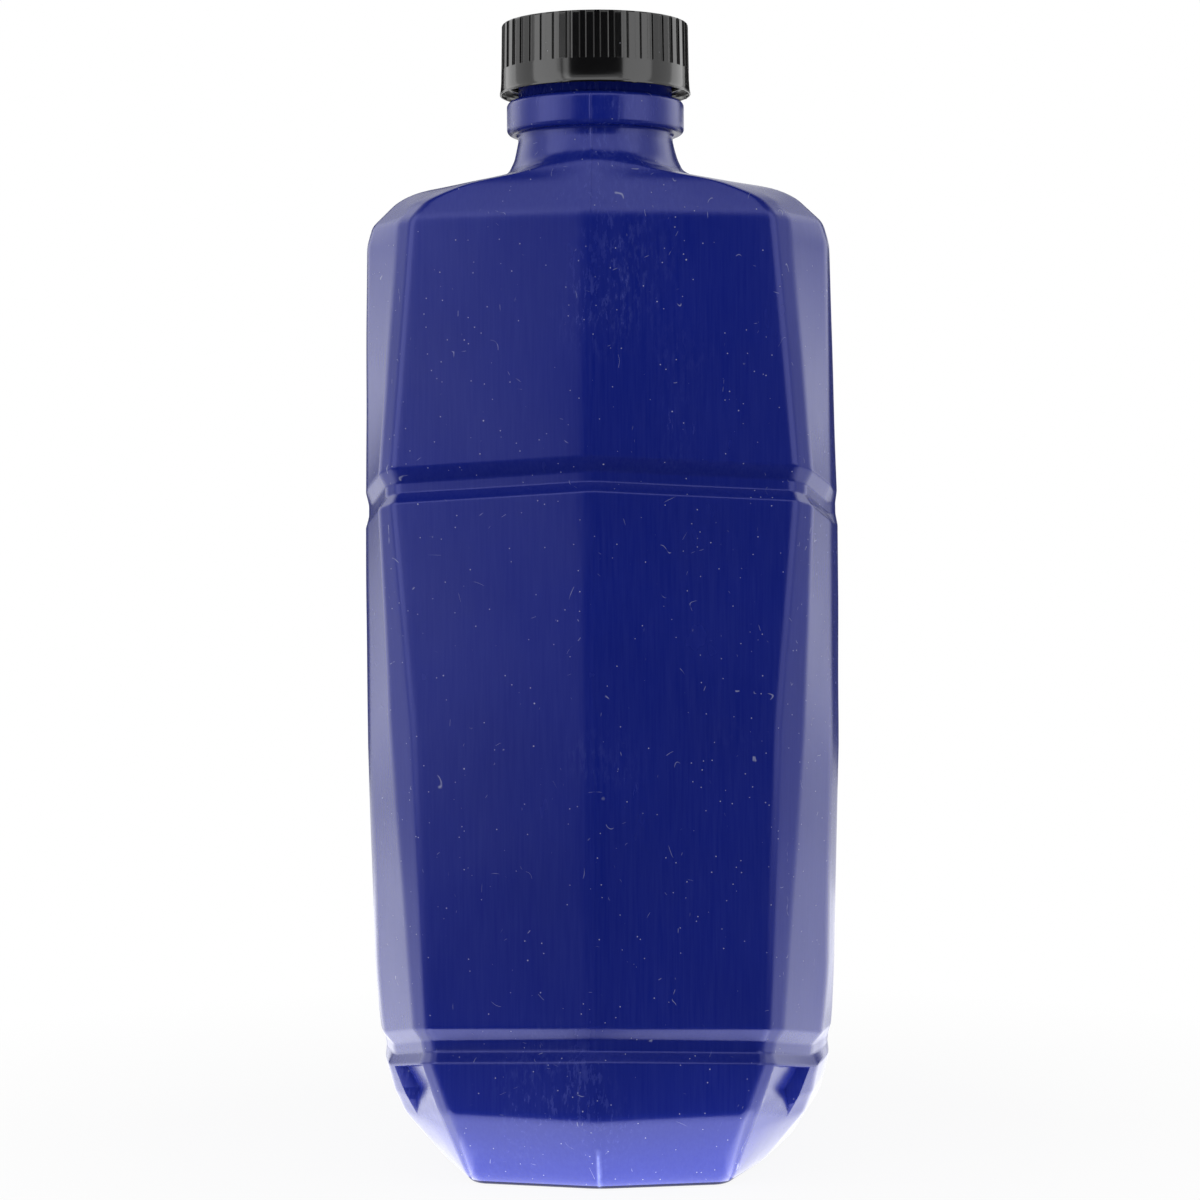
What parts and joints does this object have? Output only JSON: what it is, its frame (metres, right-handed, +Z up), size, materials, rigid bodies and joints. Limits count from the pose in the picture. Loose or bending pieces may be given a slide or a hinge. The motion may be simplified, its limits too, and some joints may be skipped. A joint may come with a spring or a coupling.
{
  "type": "antifreeze jug",
  "caption": "Blow-moulded plastic jug with a hollow handle behind its body, creased front panels, corner pockets and a ribbed push-and-turn screw cap.",
  "frame": {"origin": "centre of the resting face, on the surface that the jug stands on", "axes": "+Z up, -Y towards the narrow neck side, +Y towards the handle, X across the jug"},
  "size_m": [0.126, 0.18, 0.3007],
  "materials": {
    "jug_plastic": "satin, fine vertical grain",
    "liner_foam": "matt",
    "inner_cap_plastic": "satin",
    "cap_plastic": "gloss"
  },
  "bodies": {
    "jug": {"jug": "jug_plastic"},
    "liner": {"cap_liner": "liner_foam"},
    "inner_cap": {"inner_cap": "inner_cap_plastic"},
    "cap_shell": {"cap_shell": "cap_plastic"}
  },
  "joints": [
    {"name": "cap_lift", "type": "slide", "parent": "jug", "child": "liner", "axis": [0, 0, 1], "range_m": [0, 0.0148]},
    {"name": "cap_turn", "type": "hinge", "parent": "liner", "child": "inner_cap", "pos_m": [0, -0.062, 0.2965], "axis": [0, 0, 1], "range_deg": [0, 1260]},
    {"name": "shell_push", "type": "slide", "parent": "inner_cap", "child": "cap_shell", "axis": [0, 0, 1], "range_m": [-0.0014, 0], "stiffness_N_per_m": 2500, "springref_m": 0.0004}
  ],
  "couplings": [
    {"joint": "cap_turn", "follows": "cap_lift", "rad_per_m": 1484.2}
  ]
}
